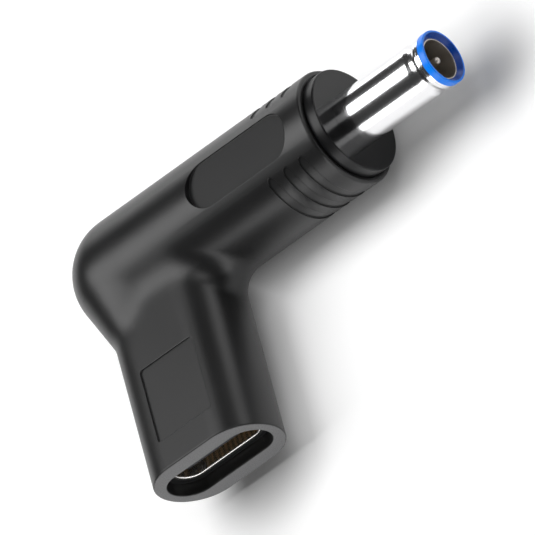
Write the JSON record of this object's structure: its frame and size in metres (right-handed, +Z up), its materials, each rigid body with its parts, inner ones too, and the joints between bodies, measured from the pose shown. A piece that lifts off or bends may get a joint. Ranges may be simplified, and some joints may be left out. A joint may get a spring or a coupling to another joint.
{
  "type": "usb-c to dc adapter",
  "caption": "Right-angle adapter: a USB-C socket in a flat arm feeds a barrel plug with a centre pin on a round arm, so that a USB-C charger can power a device with a barrel jack.",
  "frame": {"origin": "centre of the barrel plug's shoulder face, on the plug's axis", "axes": "+X along the barrel plug, out of its tip; +Y along the flat arm, away from the socket; +Z up, out of the side with the oval recess"},
  "size_m": [0.0386, 0.0234, 0.0098],
  "materials": {
    "housing_plastic": "satin",
    "plug_plastic": "matte",
    "inner_plastic": "matte",
    "blue_plastic": "gloss",
    "black_plastic": "gloss",
    "bright_plating": "bright",
    "shell_steel": "satin",
    "contact_gold": "bright",
    "copper": "satin",
    "solder": "satin",
    "board_green": "satin",
    "ceramic_tan": "matte",
    "red_jacket": "satin",
    "black_jacket": "satin",
    "white_jacket": "satin"
  },
  "bodies": {
    "root": {"housing": "housing_plastic", "inner_moulding": "inner_plastic", "plug_body": "plug_plastic", "outer_sleeve": "bright_plating", "ground_lug": "bright_plating", "tip_insulator": "blue_plastic", "inner_sleeve": "bright_plating", "pin_holder": "black_plastic", "centre_pin": "bright_plating", "socket_shell": "shell_steel", "contact_carrier": "black_plastic", "middle_plate": "shell_steel", "ground_band": "shell_steel", "upper_contacts": "contact_gold", "lower_contacts": "contact_gold", "circuit_board": "board_green", "trigger_chip": "black_plastic", "switch_chip": "black_plastic", "capacitors": "ceramic_tan", "resistors": "black_plastic", "ground_wire_core": "copper", "ground_wire_jacket": "black_jacket", "positive_wire_core": "copper", "positive_wire_jacket": "red_jacket", "sense_wire_core": "copper", "sense_wire_jacket": "white_jacket", "solder_joints": "solder"}
  },
  "joints": []
}
